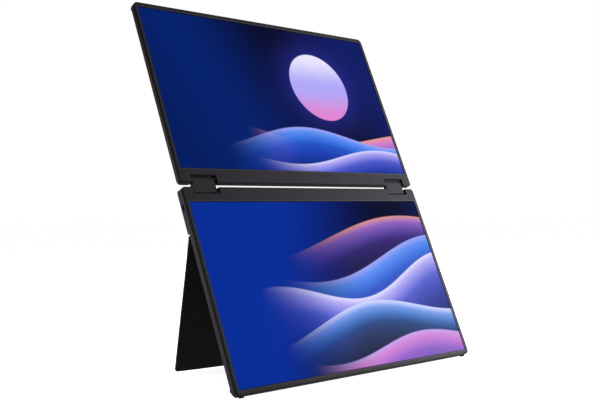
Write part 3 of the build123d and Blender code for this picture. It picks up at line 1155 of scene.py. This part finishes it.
@dataclass
class TripodInsert:
    """Threaded brass insert in the back of the lower screen."""

    outer: float = 4.0 * MM
    bore: float = 3.12 * MM
    crest: float = 2.55 * MM
    length: float = 4.6 * MM
    bottom: float = 0.6 * MM
    pitch: float = 1.27 * MM
    mouth_round: float = 0.25 * MM
    sides: int = 64
    land_share: float = 0.8
    upright: float = 0.9

    def sleeve(self) -> bpy.types.Object:
        """Models the insert's body, its mouth at the origin and its bore down along -Z.

        Returns:
            The body.
        """
        Workbench.clear()
        full = self.length + self.bottom
        bpy.ops.mesh.primitive_cylinder_add(
            vertices=self.sides, radius=self.outer, depth=full, location=(0.0, 0.0, -full / 2)
        )
        made = bpy.context.object
        made.name = "tripod_thread_insert"
        bpy.ops.object.transform_apply(location=True, rotation=True, scale=True)
        Workbench.deselect(Pick.FACE)
        for face in made.data.polygons:
            face.select = face.normal.z > self.upright
        bpy.ops.object.mode_set(mode="EDIT")
        bpy.ops.mesh.inset(thickness=self.outer - self.bore - self.mouth_round)
        bpy.ops.mesh.inset(thickness=self.mouth_round)
        bpy.ops.transform.translate(value=(0.0, 0.0, -self.mouth_round))
        bpy.ops.mesh.extrude_region_move(
            TRANSFORM_OT_translate={"value": (0.0, 0.0, self.mouth_round - self.length)}
        )
        bpy.ops.object.mode_set(mode="OBJECT")
        return made

    def thread(self) -> bpy.types.Object:
        """Models the thread's ridge inside the bore.

        Returns:
            The ridge.
        """
        Workbench.clear()
        half = self.pitch * self.land_share / 2
        buried = self.bore + self.mouth_round / 2
        corners = ((buried, half), (self.crest, 0.0), (buried, -half))
        lift = self.bottom - self.length
        bpy.ops.mesh.primitive_circle_add(vertices=len(corners), radius=1.0)
        made = bpy.context.object
        made.name = "tripod_thread_ridge"
        for vertex, (radius, height) in zip(made.data.vertices, corners):
            vertex.co = (radius, 0.0, height + lift)
        screw = made.modifiers.new("helix", "SCREW")
        screw.axis = "Z"
        screw.steps = screw.render_steps = self.sides // 2
        screw.iterations = int((self.length - self.bottom - 2 * half) / self.pitch)
        screw.screw_offset = self.pitch
        bpy.ops.object.modifier_apply(modifier=screw.name)
        bpy.ops.object.mode_set(mode="EDIT")
        bpy.ops.mesh.select_all(action="SELECT")
        bpy.ops.mesh.fill_holes(sides=len(corners))
        bpy.ops.object.mode_set(mode="OBJECT")
        return made

    def build(self) -> bpy.types.Object:
        """Models the insert.

        Returns:
            The insert, in place.
        """
        made = Workbench.join(self.sleeve(), self.thread())
        low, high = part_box("tripod_insert")
        outwards = PANEL.turn() @ Vector((0.0, 1.0, 0.0))
        mouth = (low + high) / 2 + outwards * (self.length + self.bottom) / 2
        facing = PANEL.turn() @ Matrix.Rotation(-QUARTER_TURN, 4, "X")
        Workbench.settle(made, Matrix.Translation(mouth) @ facing)
        return made


@dataclass
class GripStrip:
    """Ribbed rubber strip along the kickstand's foot."""

    length: float = 130.0 * MM
    thickness: float = 2.0 * MM
    reach: float = 148.2 * MM
    height: float = 4.0 * MM
    rib: float = 2.2 * MM
    groove: float = 0.4 * MM
    groove_depth: float = 0.3 * MM
    nose_share: float = 0.98
    nose_steps: int = 6

    def bar(self, name: str, length: float, inset: float) -> bpy.types.Object:
        """Models a bar with a round nose, its nose downwards.

        Args:
            name: The object's name.
            length: Its length across the kickstand.
            inset: How far its sides and nose are drawn in.

        Returns:
            The bar.
        """
        half = self.thickness / 2 - inset
        top = self.height - self.reach
        low = inset - self.reach
        middle = (top + low) / 2
        size = Vector((length, 2 * half, top - low))
        made = Workbench.block(name, size, Vector((0.0, 0.0, middle)))
        Workbench.deselect(Pick.EDGE)
        for edge in made.data.edges:
            ends = [made.data.vertices[i].co for i in edge.vertices]
            lengthwise = abs(ends[0].x - ends[1].x) > length / 2
            edge.select = lengthwise and all(end.z < middle for end in ends)
        bpy.ops.object.mode_set(mode="EDIT")
        radius = half * self.nose_share
        bpy.ops.mesh.bevel(offset=radius, segments=self.nose_steps, affect="EDGES")
        bpy.ops.object.mode_set(mode="OBJECT")
        return made

    def build(self) -> bpy.types.Object:
        """Models the strip.

        Returns:
            The strip, in place.
        """
        core = self.bar("kickstand_grip_strip", self.length, self.groove_depth)
        ribs = self.bar("kickstand_grip_ribs", self.rib, 0.0)
        step = self.rib + self.groove
        count = int((self.length + self.groove) / step)
        start = -step * (count - 1) / 2
        for vertex in ribs.data.vertices:
            vertex.co.x += start
        Workbench.repeat(ribs, count, Vector((step, 0.0, 0.0)))
        made = Workbench.join(core, ribs)
        opening = -joint_start("kickstand_hinge")
        turn = Matrix.Rotation(opening - PANEL.lean, 4, "X")
        Workbench.settle(made, Matrix.Translation(joint_place("kickstand_hinge")) @ turn)
        return made


class Finishes:
    """Every finish of the monitor, built once; the contacts' gold is no slot of the record."""

    def __init__(self) -> None:
        """Builds the finishes."""
        self.by_name = {finish.name: finish.material() for finish in self.listed()}

    @staticmethod
    def listed() -> tuple[Finish, ...]:
        """Lists the finishes, by the record's slot names.

        Returns:
            The finishes.
        """
        plain = (52, 50, 54)
        worn = (60, 58, 62)
        return (
            FramePlastic("bezel_plastic", plain, worn),
            CoverPlastic("cover_plastic", (58, 57, 59), (66, 64, 67), grain=0.5 * MM),
            MouldedPlastic("button_plastic", (40, 39, 42), worn, grain=0.2 * MM),
            MouldedPlastic("switch_plastic", (26, 26, 27), (40, 40, 42)),
            BlastedMetal("hinge_shell", plain, worn, metal=0.0),
            BlastedMetal(
                "kickstand_metal", (24, 24, 26), (30, 30, 32),
                metal=0.0, smooth=0.7, rough=0.85, gloss=0.1,
            ),
            BlastedMetal("spreader_aluminium", (190, 192, 196), (206, 208, 210), metal=1.0),
            DullRubber("rubber"),
            TurnedMetal("hinge_steel", (132, 132, 136), (104, 102, 100)),
            TurnedMetal("leaf_steel", (46, 46, 48), (36, 35, 34)),
            TurnedMetal("screw_steel", (92, 92, 96), (70, 68, 66)),
            TurnedMetal("socket_steel", (96, 96, 100), (70, 69, 68)),
            TurnedMetal("insert_brass", (198, 160, 84), (160, 120, 60)),
            SolderMask("circuit_board"),
            DisplayLaminate("display_glass"),
            TurnedMetal("contact_gold", (226, 186, 96), (200, 150, 70)),
        )

    def dress_all(self) -> None:
        """Dresses every CAD node by its slot, apart from the lit screens."""
        for row in frame["record"]["subparts"]:
            if row["material_slot"] in self.by_name:
                dress(row["node"], self.by_name[row["material_slot"]])


MOONLIGHT: Colour = (236, 232, 255)
LILAC: Colour = (176, 168, 248)
VIOLET: Colour = (128, 92, 214)
SKY_BLUE: Colour = (72, 148, 246)
ROYAL: Colour = (24, 66, 206)
NAVY: Colour = (4, 16, 78)
INK: Colour = (0, 0, 10)
ROSE: Colour = (226, 132, 206)
AMBER: Colour = (238, 160, 110)


def lower_picture() -> LitScreen:
    """Describes the lower screen's picture: lit hills that climb to the right.

    Returns:
        The picture.
    """
    hills = (
        Hill(
            level=0.72, slope=0.10, swing=0.10, waves=0.75, phase=0.62, reach=0.46,
            lit_from=0.30, lit_to=0.75, shades=(AMBER, VIOLET, NAVY, INK),
        ),
        Hill(
            level=0.54, slope=0.14, swing=0.09, waves=0.95, phase=0.30, reach=0.44,
            lit_from=0.26, lit_to=0.66, shades=(LILAC, SKY_BLUE, ROYAL, INK),
        ),
        Hill(
            level=0.38, slope=0.18, swing=0.09, waves=1.20, phase=0.02, reach=0.42,
            lit_from=0.16, lit_to=0.50, shades=(MOONLIGHT, LILAC, ROYAL, INK),
        ),
        Hill(
            level=0.22, slope=0.12, swing=0.08, waves=1.05, phase=0.62, reach=0.40,
            lit_from=0.20, lit_to=0.55, shades=(MOONLIGHT, SKY_BLUE, NAVY, INK),
        ),
        Hill(
            level=0.07, slope=0.05, swing=0.05, waves=1.30, phase=0.20, reach=0.34,
            lit_from=0.28, lit_to=0.60, shades=(LILAC, ROSE, VIOLET, NAVY),
        ),
    )
    sky = (
        (0.0, (2, 44, 148)),
        (0.28, (2, 46, 156)),
        (0.5, (0, 20, 92)),
        (0.68, INK),
        (0.86, (2, 10, 50)),
        (1.0, (10, 26, 92)),
    )
    return LitScreen("lower_picture", low_edge=5.3 * MM, sky=sky, sky_tilt=-0.2, hills=hills)


def upper_picture() -> LitScreen:
    """Describes the upper screen's picture: a moon over far hills.

    Returns:
        The picture.
    """
    hills = (
        Hill(
            level=0.30, slope=-0.06, swing=0.07, waves=0.9, phase=0.2, reach=0.34,
            lit_from=0.30, lit_to=0.62, shades=(AMBER, ROSE, VIOLET, NAVY),
        ),
        Hill(
            level=0.20, slope=0.06, swing=0.07, waves=1.15, phase=0.62, reach=0.34,
            lit_from=0.20, lit_to=0.52, shades=(LILAC, SKY_BLUE, ROYAL, INK),
        ),
        Hill(
            level=0.08, slope=0.04, swing=0.05, waves=1.3, phase=0.1, reach=0.24,
            lit_from=0.30, lit_to=0.62, shades=(MOONLIGHT, LILAC, ROYAL, NAVY),
        ),
    )
    sky = (
        (0.0, (0, 26, 92)),
        (0.25, (0, 36, 120)),
        (0.48, (0, 14, 66)),
        (0.66, INK),
        (0.84, (2, 12, 62)),
        (1.0, (8, 26, 104)),
    )
    moon = Moon(
        across=0.70, height=0.60, radius=0.24, glow=0.62,
        top=MOONLIGHT, middle=LILAC, bottom=ROSE, halo=(40, 44, 150),
    )
    return LitScreen(
        "upper_picture", low_edge=214.6 * MM, sky=sky, sky_tilt=0.25, hills=hills, moon=moon
    )


@dataclass
class ScreenUnit:
    """One screen with its shells, dressed with its picture."""

    screen: Screen
    picture: LitScreen

    def dress(self) -> None:
        """Lights the screen's glass."""
        dress(f"{self.screen.value}_cover_glass", self.picture.material())


@dataclass
class LowerDetails:
    """Detail pieces of the lower screen and its kickstand."""

    finishes: Finishes
    sockets: list[SocketContacts] = field(
        default_factory=lambda: [
            SocketContacts("usb_c_port", Side.LEFT, count=12, pitch=0.5 * MM),
            SocketContacts("mini_hdmi_port", Side.RIGHT, count=10, pitch=0.8 * MM),
        ]
    )

    def build(self) -> None:
        """Models the contacts, the threaded insert and the grip strip."""
        finish = self.finishes.by_name
        for socket in self.sockets:
            add_piece(socket.build(), "lower_screen", finish["contact_gold"])
        insert = TripodInsert().build()
        add_piece(insert, "lower_screen", finish["insert_brass"])
        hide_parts("tripod_insert")
        strip = GripStrip().build()
        add_piece(strip, "kickstand", finish["rubber"])
        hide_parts("kickstand_foot_strip")


@dataclass(frozen=True)
class Lamp:
    """One soft studio lamp that faces a point."""

    name: str
    place: Point
    target: Point
    size: float
    power: float
    spread: float = math.pi

    def build(self) -> None:
        """Hangs the lamp."""
        Workbench.clear()
        bpy.ops.object.light_add(type="AREA", location=self.place)
        lamp = bpy.context.object
        lamp.name = self.name
        lamp.data.shape = "DISK"
        lamp.data.size = self.size
        lamp.data.energy = self.power
        lamp.data.spread = self.spread
        aim = Vector(self.target) - Vector(self.place)
        lamp.rotation_mode = "QUATERNION"
        lamp.rotation_quaternion = aim.to_track_quat("-Z", "Y")


@dataclass
class Studio:
    """Pale floor, soft lamps, white surroundings and the camera at the photograph's angle."""

    floor_size: float = 12.0
    floor_drop: float = 0.1 * MM
    floor_glow: float = 0.88
    floor_bounce: Colour = (150, 150, 150)
    floor_colour: Colour = (250, 250, 250)
    floor_mottle: Colour = (252, 252, 252)
    floor_rough: float = 0.9
    mottle: float = 1.0 / 3.0
    surround: float = 0.12
    camera_place: Point = (-632.64 * MM, -597.66 * MM, 166.06 * MM)
    camera_yaw: float = math.radians(42.36)
    camera_pitch: float = math.radians(-0.05)
    camera_near: float = 10.0 * MM
    focal_pixels: float = 904.98
    image_width: float = 600.0
    sensor: float = 36.0
    lamps: tuple[Lamp, ...] = (
        Lamp(
            "right_softbox", place=(0.42, -0.3, 0.18), target=(0.1, 0.0, 0.14),
            size=0.3, power=4.8,
        ),
        Lamp(
            "left_fill", place=(-0.62, 0.2, 0.06), target=(-0.16, -0.02, 0.07),
            size=0.3, power=0.6, spread=math.radians(80.0),
        ),
        Lamp(
            "rear_fill", place=(0.5, 1.6, 1.1), target=(0.0, 0.0, 0.2),
            size=1.2, power=26.0,
        ),
    )

    @staticmethod
    def seen_strength(tree: bpy.types.NodeTree, seen: float, unseen: float) -> Socket:
        """Gives rays that show the background another strength than the light that it throws.

        Args:
            tree: The node tree that takes it.
            seen: Strength for camera, glossy and transmission rays.
            unseen: Strength for all others.

        Returns:
            The strength.
        """
        path = tree.nodes.new("ShaderNodeLightPath")
        shown = path.outputs["Is Camera Ray"]
        for name in ("Is Glossy Ray", "Is Transmission Ray"):
            either = tree.nodes.new("ShaderNodeMath")
            either.operation = "MAXIMUM"
            tree.links.new(shown, either.inputs[0])
            tree.links.new(path.outputs[name], either.inputs[1])
            shown = either.outputs["Value"]
        strength = tree.nodes.new("ShaderNodeMapRange")
        strength.inputs["To Min"].default_value = unseen
        strength.inputs["To Max"].default_value = seen
        tree.links.new(shown, strength.inputs["Value"])
        return strength.outputs["Result"]

    def world(self) -> None:
        """Sets white surroundings, dimmer for the light that they throw on the object."""
        made = bpy.data.worlds.new("studio")
        bpy.context.scene.world = made
        made.use_nodes = True
        ground = made.node_tree.nodes["Background"]
        ground.inputs["Color"].default_value = FULL_WHITE
        strength = self.seen_strength(made.node_tree, 1.0, self.surround)
        made.node_tree.links.new(strength, ground.inputs["Strength"])

    def floor_finish(self) -> bpy.types.Material:
        """Builds the floor's finish, white to the camera and dimmer in the light that it throws.

        Returns:
            Its material.
        """
        graph = Graph("studio_floor")
        mottle = graph.noise(graph.place(), self.mottle)
        pale = graph.mix(mottle, linear(self.floor_colour), linear(self.floor_mottle))
        seen = self.seen_strength(graph.tree, 1.0, 0.0)
        graph.set(
            Base_Color=graph.mix(seen, linear(self.floor_bounce), pale),
            Roughness=self.floor_rough,
            Specular_IOR_Level=0.0,
        )
        glow = graph.node("ShaderNodeEmission")
        glow.inputs["Color"].default_value = FULL_WHITE
        strength = self.seen_strength(graph.tree, self.floor_glow, 0.0)
        graph.feed(glow.inputs["Strength"], strength)
        both = graph.node("ShaderNodeAddShader")
        graph.feed(both.inputs[0], graph.shader.outputs["BSDF"])
        graph.feed(both.inputs[1], glow.outputs["Emission"])
        output = graph.tree.nodes["Material Output"]
        graph.feed(output.inputs["Surface"], both.outputs["Shader"])
        return graph.material

    def floor(self) -> None:
        """Lays the floor, which takes the object's soft shadow."""
        Workbench.clear()
        place = (0.0, 0.0, -self.floor_drop)
        bpy.ops.mesh.primitive_plane_add(size=self.floor_size, location=place)
        floor = bpy.context.object
        floor.name = "studio_floor"
        floor.data.materials.append(self.floor_finish())

    def camera(self) -> None:
        """Sets up the camera."""
        Workbench.clear()
        bpy.ops.object.camera_add()
        camera = bpy.context.object
        camera.name = "photo_camera"
        camera.data.sensor_fit = "HORIZONTAL"
        camera.data.sensor_width = self.sensor
        camera.data.lens = self.focal_pixels * self.sensor / self.image_width
        camera.data.dof.use_dof = False
        camera.data.clip_start = self.camera_near
        camera.location = PANEL.edge() + Vector(self.camera_place)
        camera.rotation_euler = (QUARTER_TURN + self.camera_pitch, 0.0, -self.camera_yaw)
        bpy.context.scene.camera = camera

    def build(self) -> None:
        """Builds the studio."""
        self.world()
        self.floor()
        for lamp in self.lamps:
            lamp.build()
        self.camera()
        bpy.context.scene.view_settings.view_transform = "Standard"


def main() -> None:
    """Dresses the frame, adds the detail pieces and sets up the studio."""
    logging.basicConfig(level=logging.INFO, format="%(name)s: %(message)s")
    finishes = Finishes()
    finishes.dress_all()
    ScreenUnit(Screen.LOWER, lower_picture()).dress()
    ScreenUnit(Screen.UPPER, upper_picture()).dress()
    LowerDetails(finishes).build()
    Studio().build()


if __name__ == "__main__":
    main()
